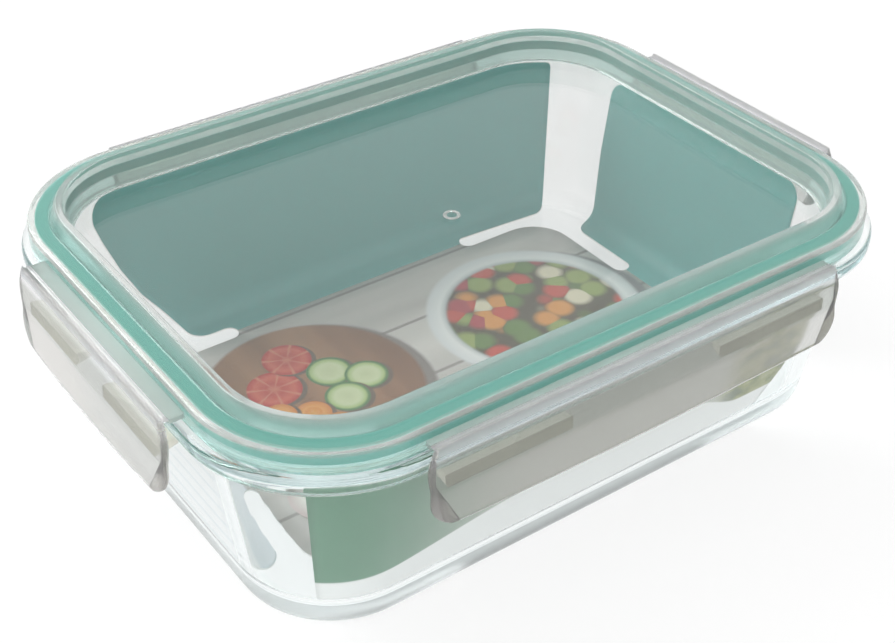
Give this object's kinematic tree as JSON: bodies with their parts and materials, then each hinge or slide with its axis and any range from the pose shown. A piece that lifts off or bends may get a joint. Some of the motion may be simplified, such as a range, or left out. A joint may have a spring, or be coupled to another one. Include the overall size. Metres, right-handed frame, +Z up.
{
  "type": "glass food storage box",
  "caption": "Rectangular glass food box with a see-through snap lid, hinged locking flaps, a teal seal ring and a folded card insert.",
  "frame": {"origin": "middle of the base, on the surface it stands on", "axes": "+X along the long side, +Y to the back, +Z up"},
  "size_m": [0.2436, 0.1852, 0.0737],
  "materials": {
    "clear_glass": "clear pressed glass, faint blue-green in the edges",
    "lid_plastic": "translucent moulded plastic, smooth",
    "flap_plastic": "translucent moulded plastic, slightly cloudy",
    "seal_silicone": "teal silicone, satin",
    "printed_card": "printed card, satin varnish"
  },
  "bodies": {
    "tray": {"glass_tray": "clear_glass"},
    "card": {"card_floor": "printed_card", "card_front": "printed_card", "card_back": "printed_card", "card_left": "printed_card", "card_right": "printed_card"},
    "lid": {"lid": "lid_plastic", "seal_ring": "seal_silicone", "hinge_film_front": "flap_plastic", "hinge_film_back": "flap_plastic", "hinge_film_left": "flap_plastic", "hinge_film_right": "flap_plastic"},
    "flap_front": {"flap_front": "flap_plastic"},
    "flap_back": {"flap_back": "flap_plastic"},
    "flap_left": {"flap_left": "flap_plastic"},
    "flap_right": {"flap_right": "flap_plastic"}
  },
  "joints": [
    {"name": "lid_lift", "type": "slide", "parent": "tray", "child": "lid", "axis": [0, 0, 1], "range_m": [0, 0.12]},
    {"name": "flap_front_hinge", "type": "hinge", "parent": "lid", "child": "flap_front", "pos_m": [0, -0.08705, 0.0665], "axis": [-1, 0, 0], "range_deg": [0, 125], "deforming": ["hinge_film_front"]},
    {"name": "flap_back_hinge", "type": "hinge", "parent": "lid", "child": "flap_back", "pos_m": [0, 0.08705, 0.0665], "axis": [1, 0, 0], "range_deg": [0, 125], "deforming": ["hinge_film_back"]},
    {"name": "flap_left_hinge", "type": "hinge", "parent": "lid", "child": "flap_left", "pos_m": [-0.1163, 0, 0.0665], "axis": [0, 1, 0], "range_deg": [0, 125], "deforming": ["hinge_film_left"]},
    {"name": "flap_right_hinge", "type": "hinge", "parent": "lid", "child": "flap_right", "pos_m": [0.1163, 0, 0.0665], "axis": [0, -1, 0], "range_deg": [0, 125], "deforming": ["hinge_film_right"]},
    {"name": "card_lift", "type": "slide", "parent": "tray", "child": "card", "axis": [0, 0, 1], "range_m": [0, 0.0018]}
  ]
}
